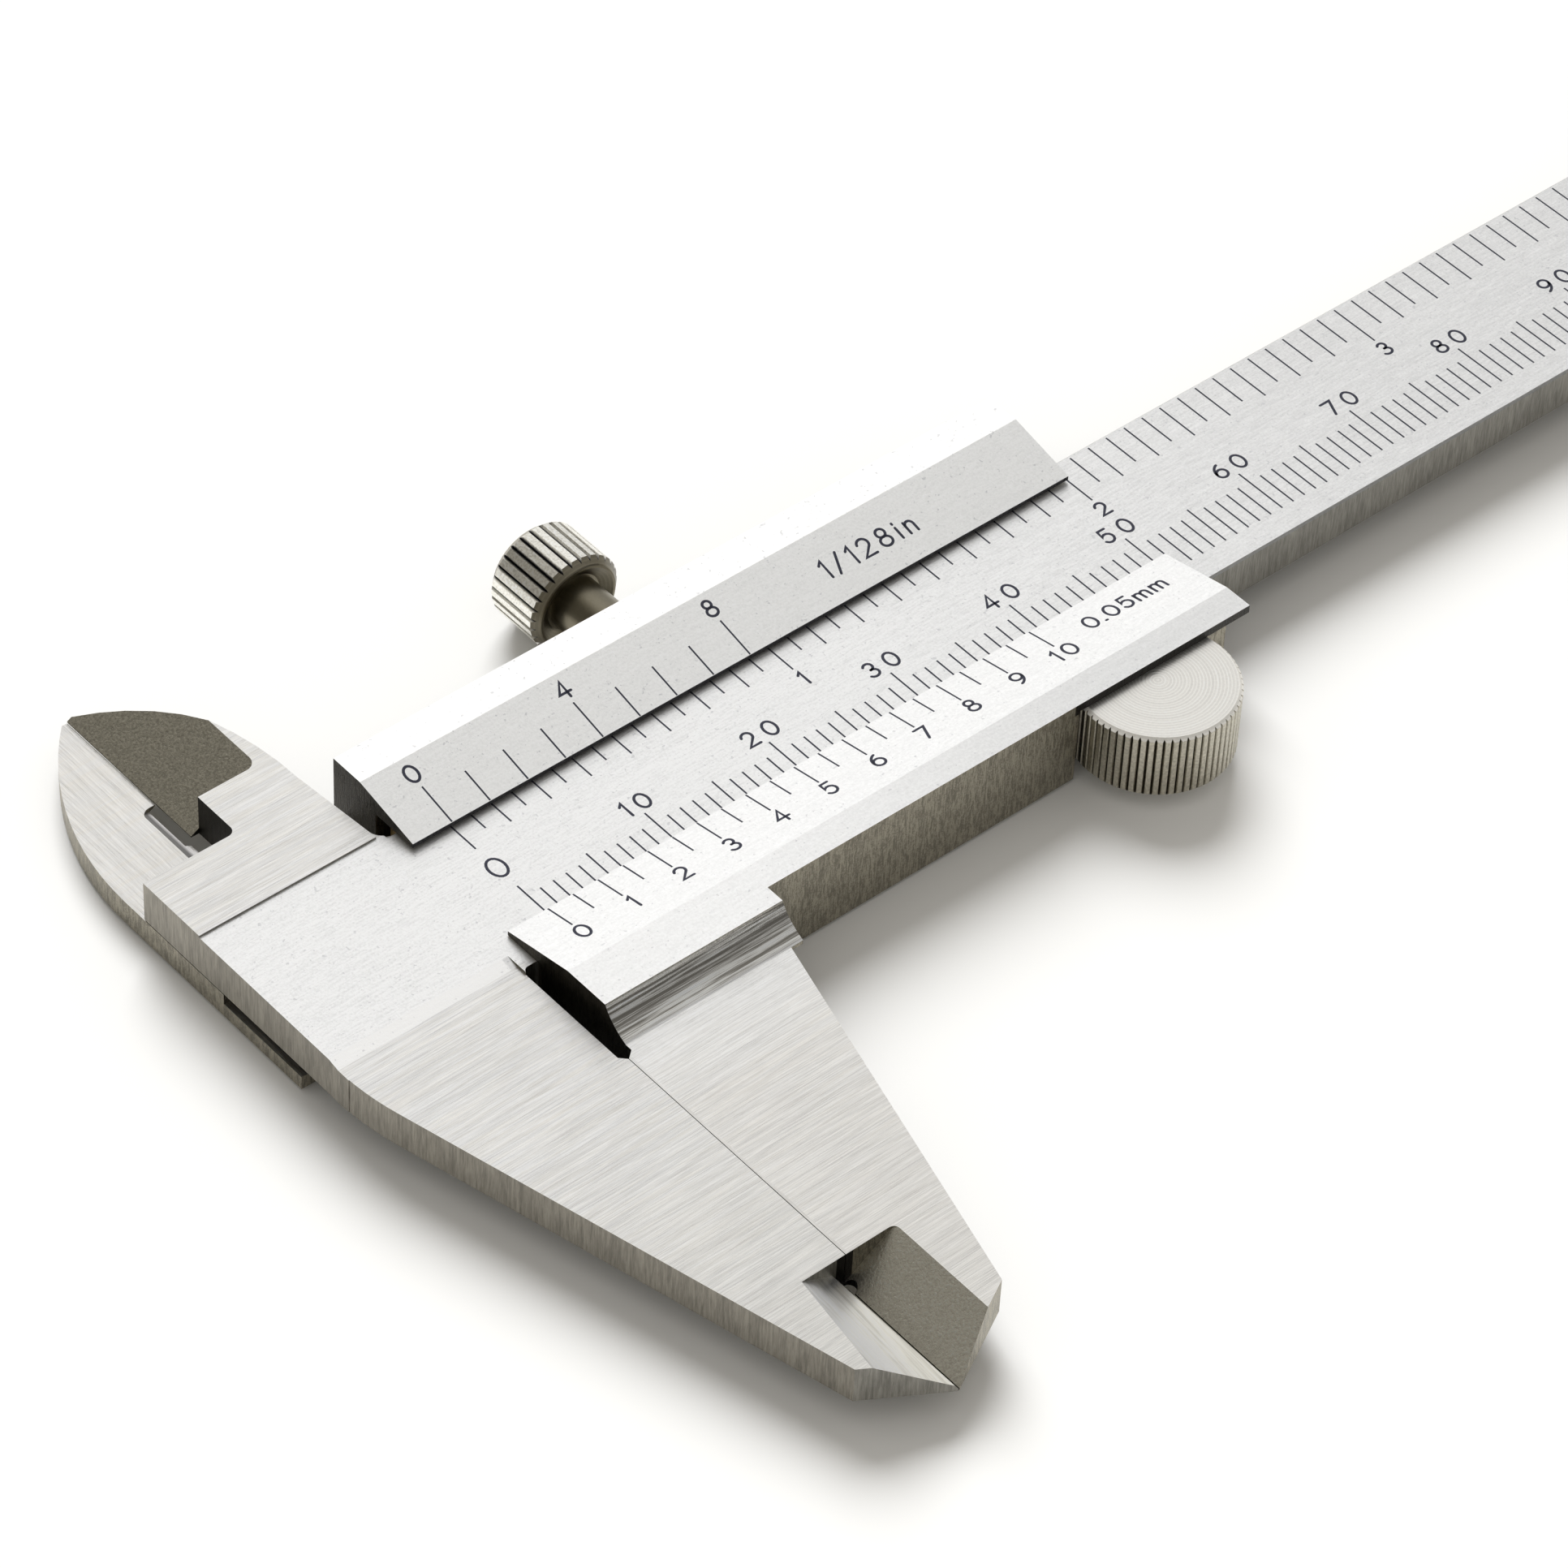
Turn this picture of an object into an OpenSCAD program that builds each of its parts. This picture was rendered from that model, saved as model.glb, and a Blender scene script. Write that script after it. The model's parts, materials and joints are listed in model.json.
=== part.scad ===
// Vernier caliper, 0 to 150 mm and 0 to 6 in, with its jaws closed.
// X runs along the beam away from the jaws, with x = 0 where the outside jaws meet.
// Y runs across the beam towards the inside jaws, with y = 0 on the beam's centreline.
// Z points out of the graduated face, with z = 0 on the slider's back, which it rests on.

/* [Beam] */
// Width of the beam
beam_w = 14.3; // [13.8:0.1:14.4]
// Thickness of the beam
beam_t = 3; // [2.9:0.05:3.1]
// From the closed outside jaws to the beam's far end
beam_reach = 215; // [214:1:230]
// From the closed outside jaws to the beam's near end
head_reach = 13.95; // [13.9:0.05:14]
// Longest opening that the scales read
travel = 150; // [100:1:150]
// Chamfer along the beam's front edges
beam_chamfer = 0.15; // [0.1:0.05:0.4]

/* [Outside jaws] */
// From the beam's centreline to the tips of the outside jaws
jaw_reach = 45.65; // [45:0.1:47]
// How far the outside jaws lie below the graduated face
jaw_drop = 0.22; // [0.1:0.02:0.4]
// Length of the knife edges at the tips of the outside jaws
tip_pocket = 10.05; // [8:0.1:11]
// Width of each knife-edge bevel at the tips
tip_bevel_w = 3.8; // [3:0.1:4]

/* [Inside jaws] */
// From the beam's centreline to the tips of the inside jaws
blade_reach = 29.7; // [28:0.1:29.8]
// Distance of the inside jaws' edges to the left of the outside jaws' faces
knife_offset = 7.55; // [7.3:0.05:7.8]
// Height of the inside-jaw block above the graduated face
block_rise = 0.15; // [0.05:0.01:0.2]

/* [Slider] */
// Length of the slider's two lips
slider_len = 53.8; // [53:0.1:55]
// Thickness of the slider's back wall
back_t = 1.85; // [1.8:0.05:2]
// Play between the slider and the beam
slide_play = 0.05; // [0.03:0.01:0.08]

/* [Lock screw] */
// Radius of the lock screw's knurled head
lock_r = 3.55; // [3:0.05:3.8]
// Length of the knurled head
lock_head = 4.9; // [4:0.1:5.5]
// Number of ribs round the head
lock_ribs = 28; // [20:1:32]

/* [Thumb roller] */
// Radius of the thumb roller
roller_r = 5.4; // [5.2:0.05:5.5]
// Thickness of the thumb roller
roller_t = 5; // [4:0.1:5]
// Number of ribs round the roller
roller_ribs = 66; // [48:2:72]

/* [Depth bar] */
// Width of the depth bar
depth_w = 4; // [3.6:0.1:4.1]
// Thickness of the depth bar
depth_t = 1.35; // [1.2:0.05:1.4]

/* [Hidden] */
$fn = 96;
eps = 0.01;      // overlap that joins two shapes
cut = 1;         // how far a cutting shape runs past a face
fit_play = 0.03; // play of a screw, rivet or pin in its hole

// Levels, from the slider's back upwards
beam_z = back_t + slide_play;
face_z = beam_z + beam_t;
jaw_z = face_z - jaw_drop;
block_z = face_z + block_rise;
half_w = beam_w / 2;

// Outside jaws
jaw_play = 0.05;      // gap between the closed jaw faces
jaw_gap_y = -16.05;   // where the jaw faces start
tip_y = -jaw_reach;
tip_side = 5.2;       // half width of the fixed jaw's tip
tip_side_y = tip_y + 3.2;
jaw_slant = 0.2578;   // side taper of the fixed jaw
shoulder_r = 20;      // rounding where the taper meets the straight side
step_y = -5.25;       // where the graduated face steps down to the jaw
step_run = 0.9;
relief_x = -0.45;     // recess at the root of the fixed jaw
relief_y = -6.65;
relief_chamfer = 0.45;
relief_r = 0.4;
tip_edge = 0.2;       // thickness left at the knife edges
tip_fixed_w = 3.3;    // width of the fixed jaw's bevel where it starts
tip_skew = 8.2;       // how far that bevel widens towards the tip, in degrees
tip_slope = 27;       // its slope
tip_edge_rise = 1.5;  // rise per run of the steeper facet beside the knife edge
pocket_y = tip_y + tip_pocket;
pocket_r = 0.5;       // radius of the hole where the two knife edges start
pocket_corner_r = 0.45;

// Inside jaws
knife_x = -knife_offset;
knife_edge = 0.1;      // thickness left at the knife edges
block_y = 7.4;         // lower edge of the raised block
block_top = 13;        // upper edge of the raised block
slot_x = knife_x + 0.6;
slot_corner_r = 0.55;
blade_pocket_y = 16.85;
bevel_x = -2.4;        // where the fixed blade's bevel meets its front face
bevel_r = 0.8;
blade_root_x = -1.15;  // fixed blade's side where its curve starts
blade_root_y = 14.45;
blade_curve_r = 22.2;
blade_foot_x = -0.53;  // fixed blade's side where it meets the beam
wing_curve_r = 20.9;   // curve of the movable blade's side
wing_curve_y = 15.05;
wing_y = -2.55;        // lower edge of the wing behind the fixed jaws
wing_top = 12.6;
wing_step_y = 5.08;    // below this line the wing is thinned
wing_step_z = 1.05;
wing_bevel_run = 2.9;  // width of the bevel on the movable blade's back
groove_x = 1.15;       // relief groove at the movable blade's root
groove_end = 20.55;
groove_tilt = 30;
groove_r = 0.6;

// Slider
slider_x = 0.6;
slider_end = slider_x + slider_len;
lower_side = -11.7;
lower_side_jaw = -13.09;
upper_side = 13.09;
lower_ledge_z = 6.5;
upper_ledge_z = 6.66;
lower_tip = [-3.94, 5.29];
lower_crease = [-9.6, lower_ledge_z];
upper_tip = [5.24, 5.41];
upper_crease = [10.45, upper_ledge_z];
lower_under = face_z + 0.06;
upper_under = face_z + 0.2;
gib_wall = 8.9;        // inner face of the slider's upper side
notch_x = 14.4;        // where the jaw's root ends
cove_y = -15.1;        // where the hollow below the lower ledge meets the jaw
cove_r = 4;
jaw_side = [14.3, -12.05];
jaw_tip_side = [5.8, tip_y + 3];

// Gib, spring and their screws
gib_t = 1;
gib_x = [1.2, 53.6];
gib_z = [beam_z + 0.05, face_z - 0.05];
gib_y = half_w + slide_play;
spring_t = 0.2;
spring_x = [14, 32.6];
spring_bow = 0.35;
gib_screw_x = [8.5, 47.5];
gib_screw_r = 1.25;
gib_screw_sink = 0.5;  // how far the set screws lie below the slider's side
mid_z = beam_z + beam_t / 2;

// Lock screw and pad
lock_x = 23.3;
lock_z = 3.25;
lock_head_y = 17.1;
lock_rib = 0.28;
lock_neck_r = 1.9;
lock_neck_y = upper_side + 0.55;
lock_shank_r = 1.45;
lock_bore_r = 1.5;
lock_tip_y = 9.85;
pad_r = 1.2;
pad_y = [8.65, 9.82];

// Thumb roller
roller_gap = 0.06;     // between the roller's ribs and the beam's edge
roller_x = 45.7;
roller_y = -half_w - roller_gap - roller_r;
roller_z = 0.85;
roller_rib = 0.16;
axle_r = 1.25;
axle_bore_r = 1.3;
axle_top = 4.9;
roller_slot_x = 39.9;  // the slot runs from here out through the slider's end
roller_slot_y = -9.9;  // its inner wall, which the roller's pocket cuts through
roller_roof = roller_z + roller_t + 0.04;
tab_r = 3.1;
tab_z = 0.62;
washer_r = [1.5, 2.7];
washer_z = [0.66, 0.8];

// Depth bar, rear plate and end stop
groove_w = depth_w + 0.2;
groove_depth = depth_t + 0.15;
groove_start = 14;
depth_x = 20;
depth_z = beam_z + 0.05;
depth_nose = 2.5;      // length of the thinned end of the depth bar
depth_nose_cut = 1.4;
foot_x = [24, 44];
foot_w = 3.8;
plate_x = [20, 48];
plate_w = 10.4;
plate_t = 0.9;
plate_play = 0.05;
plate_sink = 0.02;
plate_r = 1.2;
plate_screw_x = [22, 46];
plate_screw_y = 3.7;
plate_screw_len = 1.6;
rivet_x = [29, 39];
rivet_r = 1;
rivet_len = 2.6;
stop_x = [slider_end + travel + 2.1, slider_end + travel + 8.1];
stop_w = 12.4;
stop_z = [0.7, beam_z];
stop_screw_x = (stop_x[0] + stop_x[1]) / 2;
stop_screw_y = 4.4;
stop_screw_top = 4.3;
screw_r = 0.8;
screw_head_r = 1.4;

// A block given by its lowest and highest corners
module block(lo, hi) {
    translate(lo) cube(hi - lo);
}

// A shape drawn in Y and Z, carried from one x to another
module along_x(x0, x1) {
    translate([x0, 0, 0]) rotate([90, 0, 90]) linear_extrude(x1 - x0) children();
}

// A shape drawn in X and Z, carried from one y to another
module along_y(y0, y1) {
    translate([0, y1, 0]) rotate([90, 0, 0]) linear_extrude(y1 - y0) children();
}

// A flat shape between two levels
module between(z0, z1) {
    translate([0, 0, z0]) linear_extrude(z1 - z0) children();
}

// A straight-ribbed outline: count ribs of the given depth round a circle
module ribbed(r, depth, count) {
    land = 0.3; // share of each pitch that is rib crest
    polygon([
        for (i = [0 : count - 1], s = [[-land, 0], [land, 0], [0.5, 1]])
            let (a = 360 / count * (i + s[0] * (1 - s[1]) + 0.5 * s[1]), d = r - depth * s[1])
            [d * cos(a), d * sin(a)]
    ]);
}

// A countersunk screw pointing up from its head, with play added all round
module countersunk(len, play) {
    cone_h = screw_head_r - screw_r;
    rotate_extrude() polygon([
        [0, -play], [screw_head_r + play, -play], [screw_head_r + play, 0.1],
        [screw_r + play, 0.1 + cone_h], [screw_r + play, len + play], [0, len + play]
    ]);
}

// A screwdriver slot across a countersunk head
module driver_slot() {
    block([-screw_head_r - cut, -0.17, -cut], [screw_head_r + cut, 0.17, 0.35]);
}

// ---- beam with the fixed jaws ----

module fixed_jaw_outline() {
    taper = atan(jaw_slant);
    shoulder_y = tip_side_y + (head_reach - tip_side) / jaw_slant + shoulder_r * tan(taper / 2);
    difference() {
        polygon(concat(
            [[0, tip_y], [0, -half_w], [0, step_y], [-head_reach, step_y]],
            [for (a = [0 : taper / 6 : taper + eps])
                [-head_reach + shoulder_r * (1 - cos(a)), shoulder_y - shoulder_r * sin(a)]],
            [[-tip_side, tip_side_y]]
        ));
        translate([relief_x, jaw_gap_y + relief_chamfer]) square([1, 20]);
        polygon([
            [0, jaw_gap_y], [relief_x, jaw_gap_y + relief_chamfer],
            [1, jaw_gap_y + relief_chamfer], [1, jaw_gap_y]
        ]);
    }
}

module fixed_blade_outline() {
    intersection() {
        polygon([
            [-head_reach, half_w - eps], [-head_reach, block_top], [slot_x, block_top],
            [slot_x, blade_pocket_y], [knife_x, blade_pocket_y], [knife_x, blade_reach],
            [blade_root_x, blade_reach], [blade_root_x, blade_root_y], [blade_foot_x, half_w - eps]
        ]);
        union() {
            translate([blade_root_x - blade_curve_r, blade_root_y]) circle(r = blade_curve_r, $fn = 180);
            translate([-head_reach - 1, 0]) square([head_reach + 1, blade_root_y]);
        }
    }
    // rounding of the inner corner between the block and the blade
    difference() {
        translate([slot_x - slot_corner_r, block_top - eps]) square([slot_corner_r + eps, slot_corner_r + eps]);
        translate([slot_x - slot_corner_r, block_top + slot_corner_r]) circle(r = slot_corner_r);
    }
}

// The fixed blade's bevel: removes what lies in front of the slope from its knife edge
module fixed_blade_bevel() {
    intersection() {
        along_y(blade_pocket_y, blade_reach + cut) polygon([
            [knife_x - cut, beam_z + knife_edge], [knife_x, beam_z + knife_edge],
            [bevel_x, block_z], [bevel_x, block_z + cut], [knife_x - cut, block_z + cut]
        ]);
        between(0, block_z + cut) {
            translate([knife_x - cut, blade_pocket_y + bevel_r]) square([bevel_x - knife_x + cut, 20]);
            translate([knife_x - cut, blade_pocket_y]) square([bevel_x - knife_x + cut - bevel_r, 2]);
            translate([bevel_x - bevel_r, blade_pocket_y + bevel_r]) circle(r = bevel_r);
        }
    }
}

// Knife edge of the fixed outside jaw: a wide facet that widens towards the tip, and a steep one
module fixed_jaw_bevel() {
    low = beam_z + tip_edge;
    along_y(tip_y - cut, pocket_y) polygon([
        [cut, low], [0, low], [(low - jaw_z) / tip_edge_rise, jaw_z],
        [(low - jaw_z) / tip_edge_rise, face_z], [cut, face_z]
    ]);
    intersection() {
        translate([-tip_fixed_w, pocket_y, jaw_z]) rotate([0, 0, -tip_skew]) rotate([0, tip_slope, 0])
            translate([-tip_bevel_w, -2 * tip_pocket, 0]) cube([3 * tip_bevel_w, 3 * tip_pocket, 2 * tip_bevel_w]);
        block([-2 * tip_bevel_w, tip_y - cut, 0], [cut, pocket_y, face_z]);
    }
}

module tip_hole() {
    translate([0, pocket_y - pocket_r, 0]) cylinder(r = pocket_r, h = face_z + cut);
}

module beam_chamfer_cut(side) {
    along_x(0, beam_reach + cut) polygon([
        [side * (half_w - beam_chamfer), face_z + eps], [side * (half_w + cut), face_z + eps],
        [side * (half_w + cut), face_z - beam_chamfer], [side * half_w, face_z - beam_chamfer]
    ]);
}

module beam() {
    color("silver") difference() {
        union() {
            block([-head_reach, -half_w, beam_z], [beam_reach, half_w, face_z]);
            between(beam_z, jaw_z) fixed_jaw_outline();
            between(beam_z, block_z) fixed_blade_outline();
            between(beam_z, face_z) translate([blade_foot_x, half_w]) difference() {
                translate([-eps, -eps]) square(1.1);
                translate([1.1, 1.1]) circle(r = 1.1);
            }
        }
        // the raised block ends at block_y, and the jaw lies below the graduated face
        block([-head_reach - cut, 0, face_z], [0, block_y, block_z + cut]);
        along_x(-head_reach - cut, relief_x + eps) polygon([
            [step_y, face_z], [step_y - step_run, jaw_z], [-half_w - cut, jaw_z],
            [-half_w - cut, face_z + cut], [step_y, face_z + cut]
        ]);
        // root relief beside the slider
        between(0, face_z + cut) {
            translate([relief_x, -half_w - cut]) square([1.3, relief_y + half_w + cut - relief_r]);
            translate([relief_x + relief_r, relief_y - 2]) square([1.3 - 2 * relief_r, 2]);
            for (x = [relief_x + relief_r, relief_x + 1.3 - relief_r])
                translate([x, relief_y - relief_r]) circle(r = relief_r);
        }
        fixed_jaw_bevel();
        tip_hole();
        fixed_blade_bevel();
        for (side = [-1, 1]) beam_chamfer_cut(side);
        // groove for the depth bar
        block([groove_start, -groove_w / 2, 0], [beam_reach + cut, groove_w / 2, beam_z + groove_depth]);
        for (side = [-1, 1])
            translate([stop_screw_x, side * stop_screw_y, 0])
                cylinder(r = screw_r + fit_play, h = stop_screw_top + 0.1);
    }
}

// ---- end stop ----

module end_stop() {
    color("gray") difference() {
        block([stop_x[0], -stop_w / 2, stop_z[0]], [stop_x[1], stop_w / 2, stop_z[1]]);
        for (side = [-1, 1])
            translate([stop_screw_x, side * stop_screw_y, stop_z[0]])
                countersunk(stop_screw_top - stop_z[0], fit_play);
    }
}

module stop_screw(side) {
    color("dimgray") translate([stop_screw_x, side * stop_screw_y, stop_z[0]]) difference() {
        countersunk(stop_screw_top - stop_z[0], 0);
        driver_slot();
    }
}

// ---- slider with the movable jaws ----

module slider_profile() {
    polygon([
        [lower_side, 0], [upper_side, 0], [upper_side, upper_ledge_z], upper_crease, upper_tip,
        [upper_tip[0], upper_under], [gib_wall, upper_under], [gib_wall, back_t],
        [-half_w - slide_play, back_t], [-half_w - slide_play, lower_under],
        [lower_tip[0], lower_under], lower_tip, lower_crease, [lower_side, lower_ledge_z]
    ]);
}

module slider_jaw_outline() {
    polygon([
        [jaw_play, tip_y], [jaw_play, jaw_gap_y], [slider_x, jaw_gap_y + relief_chamfer],
        [slider_x, lower_side + eps], [notch_x, lower_side + eps], jaw_side, jaw_tip_side
    ]);
}

// Root of the jaw, with the hollow that runs down to the jaw's face
module slider_jaw_root() {
    along_x(slider_x, notch_x) difference() {
        polygon([
            [lower_side + eps, 0], [lower_side + eps, lower_ledge_z], [cove_y, lower_ledge_z],
            [cove_y, jaw_z - 0.3], [lower_side_jaw, jaw_z - 0.3], [lower_side_jaw, 0]
        ]);
        // the hollow is an arc from the ledge's edge down to the jaw's face
        chord = [lower_side_jaw - cove_y, lower_ledge_z - jaw_z];
        aside = sqrt(pow(cove_r / norm(chord), 2) - 0.25);
        translate([cove_y, jaw_z] + chord / 2 + aside * [-chord[1], chord[0]]) circle(r = cove_r, $fn = 360);
    }
}

// Wing behind the fixed jaws, and the movable inside blade
module wing_outline() {
    side_x = -head_reach - 0.01;
    translate([side_x, wing_y]) square([slider_x - side_x + eps, wing_top - wing_y]);
    intersection() {
        translate([side_x, wing_top - eps]) square([knife_x - side_x, blade_reach - wing_top + eps]);
        union() {
            translate([side_x + wing_curve_r, wing_curve_y]) circle(r = wing_curve_r, $fn = 180);
            translate([side_x - 1, 0]) square([head_reach, wing_curve_y]);
        }
    }
}

module blade_root_groove() {
    translate([knife_x - groove_x, wing_top, back_t]) rotate([0, groove_tilt, 0]) linear_extrude(3) {
        square([3, groove_end - wing_top - groove_r]);
        translate([groove_r, 0]) square([3, groove_end - wing_top]);
        translate([groove_r, groove_end - wing_top - groove_r]) circle(r = groove_r);
    }
}

// Knife edge of the movable outside jaw
module slider_jaw_bevel() {
    r = pocket_corner_r;
    intersection() {
        along_y(tip_y - cut, pocket_y) polygon([
            [tip_bevel_w, jaw_z], [0, beam_z + tip_edge], [-cut, beam_z + tip_edge],
            [-cut, face_z], [tip_bevel_w, face_z]
        ]);
        between(0, face_z + cut) {
            translate([-cut, tip_y - cut]) square([tip_bevel_w + cut, tip_pocket + cut - r]);
            translate([-cut, tip_y]) square([tip_bevel_w + cut - r, tip_pocket]);
            translate([tip_bevel_w - r, pocket_y - r]) circle(r = r);
        }
    }
}

module slider_cuts() {
    // thinned part of the wing
    block([-head_reach - cut, wing_y - cut, wing_step_z], [-0.6, wing_step_y, back_t + cut]);
    // knife edge of the movable inside blade, on its back
    along_y(blade_pocket_y, blade_reach + cut) polygon([
        [knife_x + cut, -cut], [knife_x + cut, back_t - knife_edge], [knife_x, back_t - knife_edge],
        [knife_x - wing_bevel_run, 0], [knife_x - wing_bevel_run, -cut]
    ]);
    blade_root_groove();
    slider_jaw_bevel();
    tip_hole();
    // slot and pocket for the thumb roller
    block([roller_slot_x, lower_side - 5, -cut], [slider_end + cut, roller_slot_y, roller_roof]);
    translate([roller_x, roller_y, tab_z + 0.02])
        cylinder(r = roller_r + roller_gap, h = roller_roof - tab_z - 0.02);
    // bores for the lock screw and the gib screws
    translate([lock_x, upper_side + cut, lock_z]) rotate([90, 0, 0])
        cylinder(r = lock_bore_r, h = upper_side - gib_wall + 2 * cut);
    for (x = gib_screw_x)
        translate([x, upper_side + cut, mid_z]) rotate([90, 0, 0])
            cylinder(r = gib_screw_r + fit_play, h = upper_side - gib_wall + 2 * cut);
    // seat of the rear plate, the way through for the depth bar's foot, and the screw holes
    between(-cut, plate_t + plate_sink + plate_play) plate_outline(plate_play);
    block([foot_x[0] - 0.1, -foot_w / 2 - 0.1, 0], [foot_x[1] + 0.1, foot_w / 2 + 0.1, beam_z]);
    for (x = plate_screw_x, side = [-1, 1])
        translate([x, side * plate_screw_y, 0])
            cylinder(r = screw_r + fit_play, h = plate_screw_len + plate_sink + 0.1);
}

// Tab under the thumb roller that holds its axle
module roller_tab() {
    difference() {
        between(0, tab_z) {
            translate([roller_x, roller_y]) circle(r = tab_r);
            translate([roller_x - tab_r, roller_y]) square([2 * tab_r, roller_slot_y - roller_y + 1]);
        }
        translate([roller_x, roller_y, -cut]) cylinder(r = axle_r + fit_play, h = tab_z + 2 * cut);
    }
}

module slider() {
    color("gainsboro") {
        difference() {
            union() {
                along_x(slider_x, slider_end) slider_profile();
                slider_jaw_root();
                between(beam_z, jaw_z) slider_jaw_outline();
                between(0, back_t) wing_outline();
            }
            slider_cuts();
        }
        roller_tab();
    }
}

// ---- gib, spring and screws ----

module gib() {
    color("goldenrod") difference() {
        block([gib_x[0], gib_y, gib_z[0]], [gib_x[1], gib_y + gib_t, gib_z[1]]);
        // dimples under the two set screws
        for (x = gib_screw_x)
            translate([x, gib_y + gib_t + eps, mid_z]) rotate([90, 0, 0]) cylinder(r = 0.8, h = 0.2);
    }
}

// Leaf spring: a shallow bow, with a hole that the lock pad passes through
module gib_spring() {
    span = spring_x[1] - spring_x[0];
    steps = 16;
    line = [for (i = [0 : steps])
        let (t = 2 * i / steps - 1)
        [spring_x[0] + span * i / steps, gib_y + gib_t + 0.03 + spring_bow * t * t]];
    color("lightsteelblue") difference() {
        between(gib_z[0] + 0.2, gib_z[1] - 0.2) polygon(concat(
            line, [for (i = [steps : -1 : 0]) line[i] + [0, spring_t]]));
        translate([lock_x, gib_wall + cut, lock_z]) rotate([90, 0, 0]) cylinder(r = pad_r + 0.02, h = 3);
    }
}

module gib_screw(x) {
    far = upper_side - gib_screw_sink;
    near = gib_y + gib_t - 0.1;
    color("dimgray") translate([x, far, mid_z]) rotate([90, 0, 0]) difference() {
        union() {
            cylinder(r = gib_screw_r, h = far - near - 0.5);
            cylinder(r = 0.75, h = far - near);
        }
        block([-gib_screw_r - cut, -0.2, -cut], [gib_screw_r + cut, 0.2, 0.7]);
    }
}

// ---- rear plate ----

module plate_outline(play) {
    lo = [plate_x[0] - play, -plate_w / 2 - play];
    size = [plate_x[1] - plate_x[0] + 2 * play, plate_w + 2 * play];
    translate([lo[0] + plate_r, lo[1]]) square([size[0] - 2 * plate_r, size[1]]);
    translate([lo[0], lo[1] + plate_r]) square([size[0], size[1] - 2 * plate_r]);
    for (x = [plate_r, size[0] - plate_r], y = [plate_r, size[1] - plate_r])
        translate([lo[0] + x, lo[1] + y]) circle(r = plate_r);
}

module rear_plate() {
    color("darkgray") difference() {
        between(plate_sink, plate_sink + plate_t) plate_outline(0);
        for (x = plate_screw_x, side = [-1, 1])
            translate([x, side * plate_screw_y, plate_sink]) countersunk(plate_screw_len, fit_play);
        for (x = rivet_x)
            translate([x, 0, -cut]) cylinder(r = rivet_r + fit_play, h = 3);
    }
}

module plate_screw(x, side) {
    color("dimgray") translate([x, side * plate_screw_y, plate_sink]) difference() {
        countersunk(plate_screw_len, 0);
        driver_slot();
    }
}

// ---- depth bar ----

module depth_bar() {
    color("silver") difference() {
        union() {
            block([depth_x, -depth_w / 2, depth_z], [beam_reach, depth_w / 2, depth_z + depth_t]);
            block([foot_x[0], -foot_w / 2, plate_sink + plate_t + 0.02],
                  [foot_x[1], foot_w / 2, depth_z + eps]);
        }
        // thinned end that reaches into corners
        block([beam_reach - depth_nose, depth_w / 2 - depth_nose_cut, 0],
              [beam_reach + cut, depth_w, face_z]);
        for (x = rivet_x)
            translate([x, 0, 0]) cylinder(r = rivet_r + fit_play, h = rivet_len + 0.1);
    }
}

module depth_rivet(x) {
    color("gray") translate([x, 0, plate_sink]) cylinder(r = rivet_r, h = rivet_len - plate_sink);
}

// ---- thumb roller ----

module roller_axle() {
    color("dimgray") translate([roller_x, roller_y, plate_sink]) cylinder(r = axle_r, h = axle_top - plate_sink);
}

module roller_washer() {
    color("gray") translate([roller_x, roller_y]) between(washer_z[0], washer_z[1]) difference() {
        circle(r = washer_r[1]);
        circle(r = washer_r[0]);
    }
}

module thumb_roller() {
    rim = 0.25; // chamfer of the top and bottom edges
    color("lightgray") translate([roller_x, roller_y, roller_z]) difference() {
        intersection() {
            linear_extrude(roller_t) ribbed(roller_r, roller_rib, roller_ribs);
            rotate_extrude() polygon([
                [0, 0], [roller_r - rim, 0], [roller_r, rim],
                [roller_r, roller_t - rim], [roller_r - rim, roller_t], [0, roller_t]
            ]);
        }
        translate([0, 0, -cut]) cylinder(r = axle_bore_r, h = axle_top - roller_z + cut + 0.05);
    }
}

// ---- lock screw ----

module lock_pad() {
    color("goldenrod") translate([lock_x, pad_y[1], lock_z]) rotate([90, 0, 0])
        cylinder(r = pad_r, h = pad_y[1] - pad_y[0]);
}

module lock_screw() {
    far = lock_head_y + lock_head;
    rim = 0.5; // rounding of the head's outer end
    hollow = 0.5; // depth of the turned hollow in the head's inner end
    color("lightgray") translate([lock_x, 0, lock_z]) rotate([-90, 0, 0]) {
        difference() {
            intersection() {
                translate([0, 0, lock_head_y]) linear_extrude(lock_head) ribbed(lock_r, lock_rib, lock_ribs);
                rotate_extrude() polygon([
                    [0, lock_head_y], [lock_r - rim, lock_head_y], [lock_r, lock_head_y + rim],
                    [lock_r, far - rim], [lock_r - rim, far], [0, far]
                ]);
            }
            translate([0, 0, lock_head_y]) rotate_extrude() polygon([
                [lock_neck_r - eps, -cut], [lock_neck_r - eps, hollow], [lock_neck_r + 0.2, hollow],
                [lock_r - rim - 0.15, -eps], [lock_r - rim - 0.15, -cut]
            ]);
        }
        translate([0, 0, lock_neck_y]) cylinder(r = lock_neck_r, h = lock_head_y + hollow + eps - lock_neck_y);
        translate([0, 0, lock_tip_y]) cylinder(r = lock_shank_r, h = lock_neck_y + eps - lock_tip_y);
    }
}

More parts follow.
